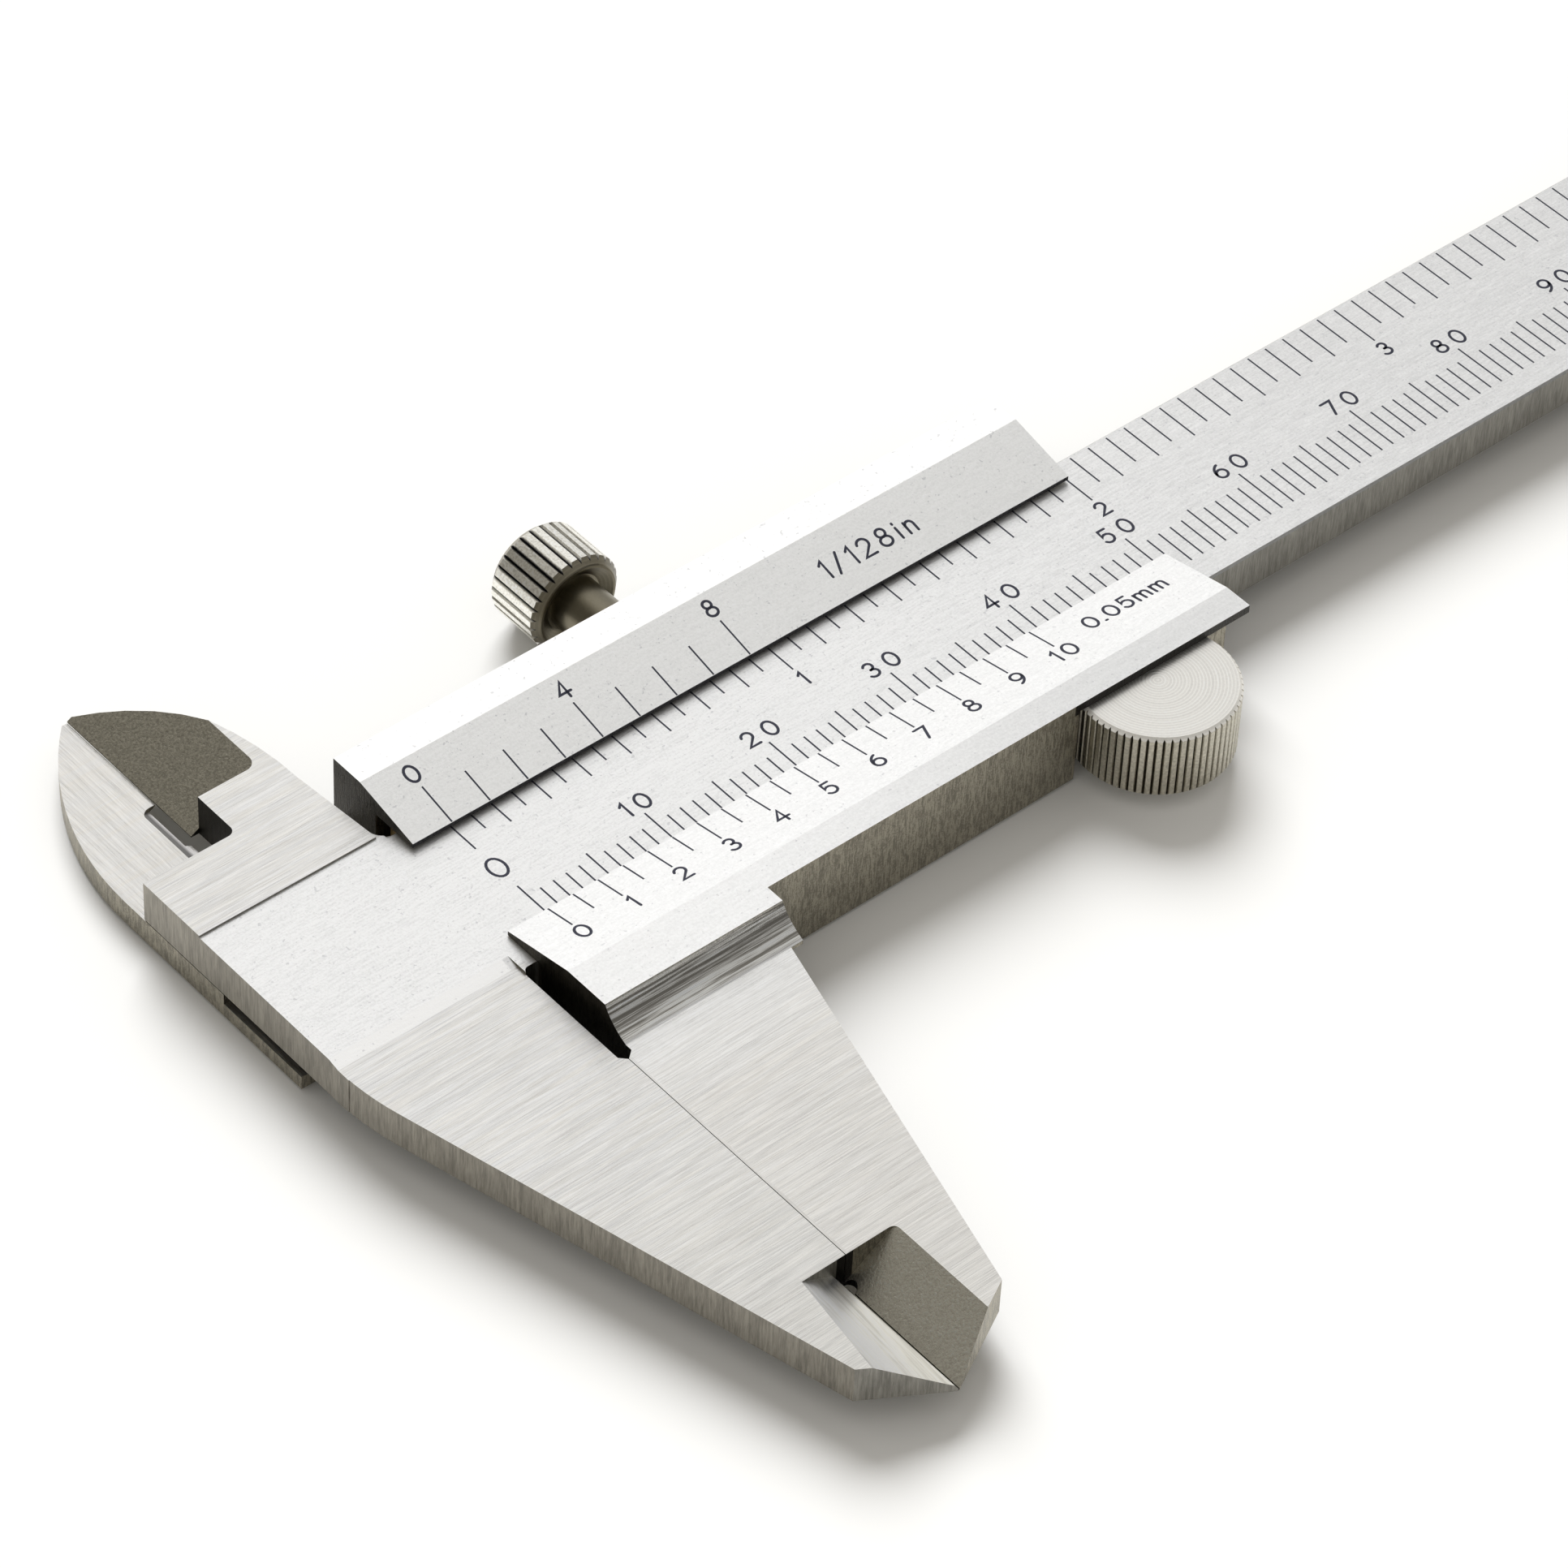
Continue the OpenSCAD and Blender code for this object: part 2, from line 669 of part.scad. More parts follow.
beam();
end_stop();
stop_screw(1);  // stop_screw_upper
stop_screw(-1);  // stop_screw_lower
slider();
gib();
gib_spring();
gib_screw(gib_screw_x[0]);  // gib_screw_left
gib_screw(gib_screw_x[1]);  // gib_screw_right
rear_plate();
plate_screw(plate_screw_x[0], -1);  // plate_screw_1
plate_screw(plate_screw_x[0], 1);  // plate_screw_2
plate_screw(plate_screw_x[1], -1);  // plate_screw_3
plate_screw(plate_screw_x[1], 1);  // plate_screw_4
depth_bar();
depth_rivet(rivet_x[0]);  // depth_rivet_left
depth_rivet(rivet_x[1]);  // depth_rivet_right
roller_axle();
roller_washer();
thumb_roller();
lock_pad();
lock_screw();
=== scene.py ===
"""Looks of the vernier caliper: finishes, scales, numerals, studio and camera."""

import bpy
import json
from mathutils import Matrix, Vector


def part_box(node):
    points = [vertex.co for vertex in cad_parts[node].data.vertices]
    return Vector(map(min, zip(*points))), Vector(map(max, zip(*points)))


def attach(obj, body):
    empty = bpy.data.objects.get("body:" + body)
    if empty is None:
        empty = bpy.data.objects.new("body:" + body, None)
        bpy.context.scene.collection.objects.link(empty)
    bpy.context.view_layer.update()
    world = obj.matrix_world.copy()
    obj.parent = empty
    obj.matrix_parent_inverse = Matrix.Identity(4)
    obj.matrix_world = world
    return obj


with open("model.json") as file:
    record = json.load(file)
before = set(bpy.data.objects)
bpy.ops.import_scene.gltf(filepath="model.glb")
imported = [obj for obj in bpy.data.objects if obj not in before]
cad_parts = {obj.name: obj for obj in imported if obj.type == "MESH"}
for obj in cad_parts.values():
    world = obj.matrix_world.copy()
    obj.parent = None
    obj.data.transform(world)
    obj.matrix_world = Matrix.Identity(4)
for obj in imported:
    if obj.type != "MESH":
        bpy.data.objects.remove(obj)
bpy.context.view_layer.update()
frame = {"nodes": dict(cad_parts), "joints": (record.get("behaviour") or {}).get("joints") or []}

import json
import math

import bmesh
import bpy
from mathutils import Matrix, Vector

MM = 0.001

# ---------------------------------------------------------------- frame data

BEAM_LO, BEAM_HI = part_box("beam")
ROLLER_LO, ROLLER_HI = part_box("thumb_roller")
LOCK_LO, LOCK_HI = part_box("lock_screw")


def joint_axis_point(name):
    return Vector(next(j for j in frame["joints"] if j["name"] == name)["pos_m"])


ROLLER_AXIS = joint_axis_point("roller_spin")
LOCK_AXIS = joint_axis_point("lock_screw_turn")
ROLLER_R = (ROLLER_HI.x - ROLLER_LO.x) / 2 / MM
LOCK_R = (LOCK_HI.x - LOCK_LO.x) / 2 / MM

# Levels and outlines of the finished faces, in millimetres in the part's frame
FACE_Z = BEAM_HI.z / MM - 0.15      # graduated face, below the raised inside-jaw block
BLOCK_Y = 7.4                       # where the raised block starts
BLOCK_TOP = 13.0                    # where the inside blades start
WING_Z = 1.85                       # front of the movable inside blade
STEP_Y = -5.25                      # where the face starts down to the outside jaw
STEP_RUN = 0.9                      # width of that slope
STEP_END_X = -0.9                   # the slope is cut only this far to the right
BEAM_EDGE = 7.04                    # where the beam's edge is broken
UPPER_TIP = (5.24, 5.41)            # y, z of the inch vernier's edge
UPPER_CREASE = (10.45, 6.66)
LOWER_TIP = (-3.94, 5.29)           # y, z of the millimetre vernier's edge
LOWER_CREASE = (-9.6, 6.5)
SIDE_Y = -13.09                     # slider's side beside the jaw's root
HOLE_Y = BEAM_LO.y / MM + 9.55      # relief hole where the two knife edges start
HOLE_R = 0.6
SLOT_X = (-8.2, -6.3)               # relief slot beside the fixed inside blade
SLOT_END_Y = 17.0
BEAM_TIP_Y = -30.0                  # the knife edges lie beyond these
SLIDER_TIP_Y = -35.5
ROLLER_POCKET = (39.5, -8.0, 5.6)   # x, y, z of the inner corner of the pocket above the roller
FAR_END_X = 36.0                    # the slider's right-hand end faces lie past this

# Where a tone starts to change and where the change is complete
# the jaws darken towards their tips, the face and the ledge towards +x
JAWS_DARKEN_Y = (-18.0, -46.0)
JAW_ROOT_Y = (-21.0, -15.5)
FACE_DARKENS_X = (30.0, 75.0)
LEDGE_DARKENS_X = (12.0, 40.0)

# ---------------------------------------------------------------- node helpers


def opaque(colour):
    """A plain colour with its alpha; a socket stays as it is."""
    return (*colour, 1) if isinstance(colour, tuple) else colour


class Nodes:
    """Small builder for a node tree."""

    def __init__(self, tree):
        self.tree = tree
        self.coord = tree.nodes.new("ShaderNodeTexCoord")

    def feed(self, socket, value):
        """Links another socket to this one, or sets its fixed value."""
        if isinstance(value, bpy.types.NodeSocket):
            self.tree.links.new(value, socket)
        else:
            socket.default_value = value

    def add(self, kind, **inputs):
        """New node; inputs are given by name, or by number as i0, i1 and so on."""
        node = self.tree.nodes.new(kind)
        for key, value in inputs.items():
            self.feed(node.inputs[int(key[1:]) if key[1:].isdigit() else key.replace("_", " ")], value)
        return node

    def math(self, operation, a, b=0.0, c=0.0):
        node = self.add("ShaderNodeMath", i0=a, i1=b, i2=c)
        node.operation = operation
        return node.outputs[0]

    def ramp(self, value, low, high):
        """0 below low and 1 above high, or the other way when low is the larger."""
        return self.add("ShaderNodeMapRange", Value=value, From_Min=low, From_Max=high).outputs[0]

    def band(self, value, low, high, soft=0.1):
        """1 between low and high, fading out over a soft margin inside them."""
        return self.math("MULTIPLY", self.ramp(value, low, low + soft), self.ramp(value, high, high - soft))

    def scaled(self, value, low, high):
        """Carries 0..1 to low..high."""
        return self.add("ShaderNodeMapRange", Value=value, To_Min=low, To_Max=high).outputs[0]

    def mixer(self, kind, first, factor, a, b):
        """Mix node of one data type, whose two inputs start at socket number first."""
        node = self.tree.nodes.new("ShaderNodeMix")
        node.data_type = kind
        self.feed(node.inputs[0], factor)
        self.feed(node.inputs[first], a)
        self.feed(node.inputs[first + 1], b)
        return node

    def mix(self, factor, a, b):
        """Colour mix."""
        return self.mixer("RGBA", 6, factor, opaque(a), opaque(b)).outputs[2]

    def blend(self, factor, a, b):
        """Float mix."""
        return self.mixer("FLOAT", 2, factor, a, b).outputs[0]

    def xyz(self, vector):
        return self.add("ShaderNodeSeparateXYZ", i0=vector).outputs

    def combine(self, x, y, z):
        return self.add("ShaderNodeCombineXYZ", i0=x, i1=y, i2=z).outputs[0]

    def place(self, centre=(0, 0, 0), scale=(1, 1, 1)):
        """Object coordinates in millimetres, moved and scaled."""
        node = self.add("ShaderNodeMapping", Vector=self.coord.outputs["Object"])
        node.vector_type = "POINT"
        node.inputs["Scale"].default_value = [s / MM for s in scale]
        node.inputs["Location"].default_value = [-c * s for c, s in zip(centre, scale)]
        return node.outputs[0]

    def noise(self, vector, detail=2.0, roughness=0.5):
        node = self.add("ShaderNodeTexNoise", Vector=vector, Scale=1.0, Detail=detail, Roughness=roughness)
        return node.outputs[0]

    def bump(self, height, distance):
        return self.add("ShaderNodeBump", Height=height, Distance=distance, Strength=1.0).outputs[0]


class Finish(Nodes):
    """Node tree of one material."""

    def __init__(self, name):
        self.material = bpy.data.materials.new(name)
        self.material.use_nodes = True
        super().__init__(self.material.node_tree)
        self.shader = self.tree.nodes["Principled BSDF"]
        self.geometry = self.tree.nodes.new("ShaderNodeNewGeometry")

    def give(self, **inputs):
        """Feeds the shader's own sockets and returns the finished material."""
        for key, value in inputs.items():
            self.feed(self.shader.inputs[key.replace("_", " ")], value)
        return self.material


# ---------------------------------------------------------------- masks and marks


def facing(n, axis, low=0.55, high=0.8):
    """1 where the surface faces along an axis, such as "+Z" or "-Y"."""
    normal = n.xyz(n.geometry.outputs["Normal"])["XYZ".index(axis[1])]
    if axis[0] == "-":
        normal = n.math("MULTIPLY", normal, -1.0)
    return n.ramp(normal, low, high)


def either(n, *masks):
    total = masks[0]
    for mask in masks[1:]:
        total = n.math("MAXIMUM", total, mask)
    return total


def both(n, *masks):
    total = masks[0]
    for mask in masks[1:]:
        total = n.math("MULTIPLY", total, mask)
    return total


def without(n, mask):
    return n.math("SUBTRACT", 1.0, mask)


def layered(n, base, layers):
    """Float value: each (mask, value) covers what lies below it."""
    for mask, value in layers:
        base = n.blend(mask, base, value)
    return base


def tinted(n, base, layers):
    """Colour: each (mask, colour) covers what lies below it."""
    for mask, value in layers:
        base = n.mix(mask, base, value)
    return base


def brushed(n, direction, across=10.0, along=0.25):
    """Grinding marks that run along "X", "Y" or "Z": fine scratches over broader bands."""
    scale = [along if axis == direction else across for axis in "XYZ"]
    fine = n.noise(n.place(scale=scale), detail=4, roughness=0.7)
    broad = n.noise(n.place((3, 7, 1), [s * 0.22 for s in scale]), detail=2)
    return n.ramp(n.blend(0.2, fine, broad), 0.27, 0.73)


def speckled(n, size=5.0):
    """Even grain, as sand-blasting leaves it."""
    fine = n.noise(n.place(scale=(size, size, size)), detail=3, roughness=0.7)
    return n.ramp(fine, 0.25, 0.75)


def satin(n, grain, share):
    """Short grinding marks along the beam, with a share of grain."""
    return n.blend(share, brushed(n, "X", across=5.5, along=0.7), grain)


def pits(n, size=3.4, rarity=0.66, depth=0.55):
    """Sparse small pits left by blasting."""
    field = n.noise(n.place((2, 1, 0), (size, size, size)), detail=2)
    return n.scaled(n.ramp(field, rarity, rarity + 0.06), 0.0, depth)


def shaded(n, colour, height, amount):
    """Colour that follows the marks: darker in the scratches, by an amount that may vary."""
    swing = n.math("MULTIPLY", n.math("SUBTRACT", n.ramp(height, 0.25, 0.75), 0.6), amount)
    factor = n.math("ADD", 1.0, swing)
    node = n.add("ShaderNodeVectorMath", i0=colour, i1=n.combine(factor, factor, factor))
    node.operation = "MULTIPLY"
    return node.outputs[0]


def finish_metal(n, colour, roughness, height, depth, metallic=1.0):
    relief = n.bump(height, depth * MM)
    return n.give(Base_Color=colour, Roughness=roughness, Metallic=metallic, Normal=relief)


# ---------------------------------------------------------------- steel finishes

ROUGHNESS_SWING = 0.05              # how far the marks move the roughness either way
MARK_DEPTH = 0.014                  # depth of the grinding marks
# painted shade: near black painted inside the relief hole
PAINTED_HOLE_SHADE = (0.012, 0.011, 0.009)


def jaw_tone(n, cool, warm):
    """Ground steel whose marks drift between a cooler and a warmer tone."""
    drift = n.ramp(brushed(n, "X", across=3.0, along=0.12), 0.35, 0.75)
    return n.mix(drift, cool, warm)


def uneven(n, roughness, marks):
    return n.math("ADD", roughness, n.scaled(marks, -ROUGHNESS_SWING, ROUGHNESS_SWING))


def tip_hole(n, side, x, y):
    """Wall of the small relief hole between the jaws, which is painted near black as painted shade."""
    near = n.ramp(n.math("ABSOLUTE", x), HOLE_R + 0.04, HOLE_R)
    return both(n, side, near, n.band(y, HOLE_Y - HOLE_R - 0.02, HOLE_Y + HOLE_R, 0.04))


def beam_steel():
    n = Finish("beam_steel")
    x, y, _ = n.xyz(n.place())
    up = facing(n, "+Z", 0.9, 0.96)
    side = without(n, facing(n, "+Z"))
    leaning_up = facing(n, "+Z", 0.5, 0.6)
    sloped = both(n, without(n, up), leaning_up)
    past_jaw = n.ramp(x, 0.0, 0.2)
    above_step = n.ramp(y, STEP_Y - STEP_RUN - 0.02, STEP_Y - STEP_RUN + 0.02)
    on_face = both(n, facing(n, "+Z"), either(n, above_step, past_jaw),
                   n.ramp(y, BLOCK_Y + 0.03, BLOCK_Y - 0.03))
    step = both(n, leaning_up, n.ramp(y, STEP_Y + 0.02, STEP_Y - 0.02), above_step,
                n.ramp(x, STEP_END_X + 0.05, STEP_END_X - 0.05))
    tip = both(n, sloped, n.ramp(y, BEAM_TIP_Y, BEAM_TIP_Y - 1.0))
    blade_bevel = both(n, sloped, n.ramp(y, BLOCK_Y, BLOCK_Y + 0.1))
    broken_edge = both(n, n.ramp(y, BEAM_EDGE, BEAM_EDGE + 0.02), n.ramp(y, BEAM_EDGE + 0.3, BEAM_EDGE + 0.2),
                       past_jaw, without(n, up))
    slot = both(n, side, n.band(y, BLOCK_TOP - 0.1, SLOT_END_Y), n.band(x, *SLOT_X))

    grain = speckled(n, 5.5)
    marks = layered(n, brushed(n, "X"), [
        (on_face, satin(n, grain, 0.45)),
        (side, brushed(n, "Z", across=6.0, along=0.5)),
        (tip, brushed(n, "Y", across=1.6, along=0.05)),
        (blade_bevel, grain),
    ])
    face_tone = n.mix(n.ramp(x, *FACE_DARKENS_X), (0.98, 0.98, 0.98), (0.88, 0.88, 0.88))
    tone = tinted(n, jaw_tone(n, (0.88, 0.875, 0.865), (0.88, 0.86, 0.82)), [
        (n.ramp(y, *JAWS_DARKEN_Y), (0.79, 0.775, 0.735)),
        (on_face, face_tone),
        # painted highlight: the slope down to the outside jaw is painted full white so it reads as a bright
        # band
        (step, (1.0, 1.0, 1.0)),
        (blade_bevel, (0.60, 0.575, 0.50)),
        (tip, (1.0, 0.99, 0.96)),
        # side faces darker than the flats: partly their rougher grinding, partly painted shade
        (side, (0.30, 0.29, 0.262)),
        (broken_edge, (0.35, 0.34, 0.31)),
        # the fixed jaw's left end darker still: partly rougher grinding, partly painted shade
        (facing(n, "-X"), (0.30, 0.28, 0.24)),
        # painted shade: the walls of the relief slot are painted near black
        (slot, (0.03, 0.028, 0.022)),
        # painted shade: the relief hole's wall painted near black
        (tip_hole(n, side, x, y), PAINTED_HOLE_SHADE),
    ])
    contrast = layered(n, 0.29, [(on_face, 0.25), (step, 0.0), (side, 0.5), (tip, 0.5), (blade_bevel, 0.40)])
    tone = shaded(n, tone, marks, contrast)
    tone = n.mix(both(n, on_face, pits(n)), tone, (0.60, 0.60, 0.62))
    roughness = uneven(n, layered(n, 0.30, [(on_face, 0.42), (side, 0.40)]), marks)
    metallic = layered(n, 1.0, [(on_face, 0.86), (step, 0.45)])
    return finish_metal(n, tone, roughness, marks, MARK_DEPTH, metallic)


def slider_steel():
    n = Finish("slider_steel")
    x, y, z = n.xyz(n.place())
    up = facing(n, "+Z")
    side = without(n, up)
    upper = n.ramp(y, 0.0, 0.1)
    lower = without(n, upper)
    raised = n.ramp(z, FACE_Z + 0.25, FACE_Z + 0.35)
    ledge = both(n, up, raised, n.ramp(y, SIDE_Y - 0.1, SIDE_Y))
    upper_ledge = both(n, ledge, upper)
    bevels = both(n, ledge, n.ramp(y, LOWER_CREASE[0] - 0.02, LOWER_CREASE[0] + 0.02),
                  n.ramp(y, UPPER_CREASE[0] + 0.02, UPPER_CREASE[0] - 0.02))
    upper_bevel = both(n, bevels, upper)
    lip_edge = both(n, side, n.band(y, UPPER_TIP[0] - 0.2, UPPER_TIP[0] + 0.2),
                    n.ramp(z, FACE_Z, FACE_Z + 0.05))
    jaw_root_highlight = both(n, n.ramp(y, *JAW_ROOT_Y), n.ramp(x, 0.0, 0.1))
    cove = both(n, n.ramp(y, SIDE_Y, SIDE_Y - 0.1), n.ramp(z, FACE_Z - 0.2, FACE_Z - 0.1),
                without(n, facing(n, "-X")))
    tip = both(n, up, n.ramp(y, SLIDER_TIP_Y, SLIDER_TIP_Y - 0.1), without(n, facing(n, "+Z", 0.9, 0.95)))
    blade = both(n, up, n.ramp(x, 0.3, 0.2))
    groove = both(n, blade, n.ramp(y, BLOCK_TOP - 0.5, BLOCK_TOP - 0.4), facing(n, "+X", 0.3, 0.4))
    near_end = both(n, facing(n, "-X"), n.ramp(x, -0.2, 0.0), n.ramp(x, 0.9, 0.8))
    far_end = both(n, facing(n, "+X"), n.ramp(x, FAR_END_X, FAR_END_X + 1.0))
    pocket_x, pocket_y, pocket_z = ROLLER_POCKET
    over_roller = both(n, side, n.ramp(x, pocket_x, pocket_x + 0.1), n.ramp(y, pocket_y, pocket_y - 1.0),
                       n.ramp(z, pocket_z, pocket_z + 0.1))

    grain = speckled(n, 5.5)
    streaks = brushed(n, "X", across=6.0, along=0.10)
    upright = brushed(n, "Z", across=7.0, along=0.9)
    marks = layered(n, brushed(n, "X"), [
        (ledge, satin(n, grain, 0.6)),
        (blade, brushed(n, "Y")),
        (side, n.ramp(n.blend(0.35, upright, speckled(n, 9.0)), 0.3, 0.7)),
        (cove, streaks),
        (tip, grain),
    ])
    ledge_tone = n.mix(n.ramp(x, *LEDGE_DARKENS_X), (0.94, 0.94, 0.94), (0.80, 0.80, 0.80))
    # painted light and shade in the groove: the lit strip near its edge is painted dark, the shaded part
    # deeper in is painted bright
    groove_painted_light = n.mix(n.ramp(z, WING_Z - 0.2, WING_Z - 0.55), (0.13, 0.127, 0.125), (1.0, 0.98, 0.97))
    cove_tone = n.mix(n.ramp(streaks, 0.40, 0.60), (0.36, 0.34, 0.30), (0.97, 0.95, 0.90))
    tone = tinted(n, jaw_tone(n, (0.88, 0.87, 0.85), (0.88, 0.855, 0.81)), [
        (n.ramp(y, *JAWS_DARKEN_Y), (0.84, 0.82, 0.78)),
        # painted highlight: the movable jaw just below the cove is painted lighter
        (jaw_root_highlight, (0.97, 0.965, 0.95)),
        (ledge, ledge_tone),
        (upper_ledge, (1.0, 1.0, 1.0)),
        (both(n, bevels, lower), (0.90, 0.90, 0.90)),
        (upper_bevel, (0.97, 0.97, 0.96)),
        (groove, groove_painted_light),
        (tip, (1.0, 0.97, 0.88)),
        # side faces darker than the flats: partly their rougher grinding, partly painted shade
        (side, (0.34, 0.315, 0.255)),
        # painted shade: the right-hand end faces are painted near black
        (far_end, (0.03, 0.028, 0.022)),
        (cove, cove_tone),
        # painted shade: the left-hand end faces are painted near black
        (near_end, (0.075, 0.068, 0.055)),
        # painted shade: the wall over the roller pocket is painted near black
        (over_roller, (0.03, 0.028, 0.024)),
        # painted shade: the lip's thin edge is painted near black as the dark line beneath it
        (lip_edge, (0.05, 0.05, 0.055)),
        # painted shade: the relief hole's wall painted near black
        (tip_hole(n, side, x, y), PAINTED_HOLE_SHADE),
    ])
    contrast = layered(n, 0.29, [(ledge, 0.15), (side, 0.6), (cove, 0.3), (groove, 0.2), (tip, 0.2)])
    tone = shaded(n, tone, marks, contrast)
    tone = n.mix(both(n, ledge, pits(n)), tone, (0.55, 0.55, 0.57))
    roughness = layered(n, 0.30, [(ledge, 0.40), (bevels, 0.36), (groove, 0.6), (side, 0.38), (cove, 0.24)])
    metallic = layered(n, 1.0, [(ledge, 0.70), (upper_ledge, 0.42), (upper_bevel, 0.85), (groove, 0.0)])
    return finish_metal(n, tone, uneven(n, roughness, marks), marks, MARK_DEPTH, metallic)


RING_PITCH = 0.22                   # spacing of the turning marks on round ends


def knurled_steel(name, axis_point, axis, radius, groove, end_tone_and_shade, rib_colour, groove_shade):
    """Knurled metal: painted shade darkens the grooves between lighter ribs; turning marks on its ends."""
    n = Finish(name)
    x, y, z = n.xyz(n.place([c / MM for c in axis_point]))
    other = z if axis == "Y" else y
    reach = n.math("SQRT", n.math("ADD", n.math("MULTIPLY", x, x), n.math("MULTIPLY", other, other)))
    rib = n.ramp(reach, radius - groove, radius - 0.15 * groove)
    inside = n.ramp(reach, radius - 2.0 * groove, radius - 2.2 * groove)
    ends = ("+" + axis, "-" + axis)
    end = either(n, *[facing(n, way, 0.2, 0.4) for way in ends], inside)
    chamfers = [both(n, facing(n, way, 0.2, 0.3), without(n, facing(n, way, 0.85, 0.95))) for way in ends]
    matt = both(n, either(n, *chamfers), without(n, inside))
    rings = n.scaled(n.math("SINE", n.math("MULTIPLY", reach, 2 * math.pi / RING_PITCH)), 0.3, 0.7)
    chatter = n.noise(n.combine(n.math("MULTIPLY", reach, 3.0), 0.0, 0.0), detail=4, roughness=0.75)
    grain = n.noise(n.place(scale=(6, 6, 6)), detail=3)
    marks = n.blend(end, grain, n.blend(0.2, n.blend(0.55, rings, chatter), grain))
    # painted shade: the knurl's grooves take the dark groove colour
    tone = n.mix(end, n.mix(rib, groove_shade, rib_colour), end_tone_and_shade)
    return finish_metal(n, shaded(n, tone, marks, 0.5), n.scaled(marks, 0.26, 0.42), marks, 0.018,
                        n.blend(matt, 1.0, 0.3))


def plain_metal(name, colour, rough, direction, edge_share=1.0):
    """Ground stock; its edges are darker than its flats where edge_share is below 1."""
    n = Finish(name)
    marks = n.blend(0.4, brushed(n, direction), speckled(n))
    flats = either(n, facing(n, "+Z"), facing(n, "-Z"))
    cloudy = n.mix(n.noise(n.place(scale=(0.5, 0.5, 0.5))), colour, tuple(0.9 * c for c in colour))
    tone = shaded(n, n.mix(flats, tuple(edge_share * c for c in colour), cloudy), marks, 0.14)
    return finish_metal(n, tone, n.scaled(marks, rough - 0.06, rough + 0.08), marks, 0.01)


def engraving_paint():
    """Dark blue-black filling of the engraved marks."""
    n = Finish("engraving")
    grain = n.noise(n.place(scale=(9, 9, 9)), detail=3, roughness=0.7)
    tone = n.mix(n.ramp(grain, 0.3, 0.7), (0.010, 0.011, 0.020), (0.042, 0.044, 0.068))
    return n.give(Base_Color=tone, Roughness=n.scaled(grain, 0.55, 0.75), Normal=n.bump(grain, 0.006 * MM))


def paint(material, *nodes):
    for name in nodes:
        mesh = frame["nodes"][name].data
        mesh.materials.clear()
        mesh.materials.append(material)


def ease_edges(name, width):
    """Tiny rounding of a node's sharp edges, which catches the light."""
    obj = frame["nodes"][name]
    flat = obj.modifiers.new("merge_flats", "DECIMATE")
    flat.decimate_type = "DISSOLVE"
    flat.angle_limit = math.radians(0.4)
    round_off = obj.modifiers.new("ease", "BEVEL")
    round_off.width = width * MM
    round_off.segments = 2
    round_off.limit_method = "ANGLE"
    round_off.angle_limit = math.radians(28)
    round_off.harden_normals = True


paint(beam_steel(), "beam")
paint(slider_steel(), "slider")
paint(knurled_steel("roller_steel", ROLLER_AXIS, "Z", ROLLER_R, 0.14,
                    (0.98, 0.96, 0.91), (0.52, 0.49, 0.41), (0.06, 0.055, 0.038)), "thumb_roller")
# the lock screw's ends are painted dark as painted shade; the roller's ends keep their own turned tone
paint(knurled_steel("lock_steel", LOCK_AXIS, "Y", LOCK_R, 0.20,
                    (0.26, 0.235, 0.175), (1.0, 0.98, 0.91), (0.09, 0.09, 0.10)), "lock_screw")
paint(plain_metal("gib_brass", (0.72, 0.55, 0.27), 0.35, "X"), "gib", "lock_pad")
paint(plain_metal("spring_steel", (0.60, 0.60, 0.62), 0.30, "X"), "gib_spring")
paint(plain_metal("screw_steel", (0.50, 0.49, 0.47), 0.34, "Y"), "gib_screw_left", "gib_screw_right",
      "plate_screw_1", "plate_screw_2", "plate_screw_3", "plate_screw_4", "stop_screw_upper",
      "stop_screw_lower", "depth_rivet_left", "depth_rivet_right", "roller_axle", "roller_washer")
paint(plain_metal("plate_steel", (0.80, 0.79, 0.77), 0.36, "X", edge_share=0.5), "rear_plate")
paint(plain_metal("stop_steel", (0.76, 0.75, 0.73), 0.36, "Y", edge_share=0.5), "end_stop")
paint(plain_metal("depth_steel", (0.80, 0.79, 0.77), 0.30, "X", edge_share=0.5), "depth_bar")

for part, width in (("beam", 0.10), ("slider", 0.11), ("rear_plate", 0.06), ("end_stop", 0.12),
                    ("depth_bar", 0.08)):
    ease_edges(part, width)

# ---------------------------------------------------------------- engraved marks

MARK_W = 0.14                       # width of a graduation
STROKE_W = 0.22                     # width of a numeral's stroke
PROUD = 0.006                       # how far the dark filling stands out of its groove
BURIED = 0.02
SECTION = ((-0.5, -BURIED), (-0.42, PROUD), (0.42, PROUD), (0.5, -BURIED))  # share of the width, lift
END_CAP = ((0.46, 0.4), (0.3, 0.8))     # reach and share of the width of a rounded end, outermost first


class Face:
    """A flat face that marks lie on: x along the beam, t up the face from its base line."""

    def __init__(self, base, top):
        self.base = Vector((0, *base))
        self.up = (Vector((0, *top)) - self.base).normalized()
        self.normal = Vector((1, 0, 0)).cross(self.up)

    def point(self, x, t, lift):
        return (Vector((x, 0, 0)) + self.base + self.up * t + self.normal * lift) * MM


MAIN_FACE = Face((0, FACE_Z), (1, FACE_Z))
LOWER_FACE = Face(LOWER_TIP, (2 * LOWER_TIP[0] - LOWER_CREASE[0], 2 * LOWER_TIP[1] - LOWER_CREASE[1]))
UPPER_FACE = Face(UPPER_TIP, UPPER_CREASE)


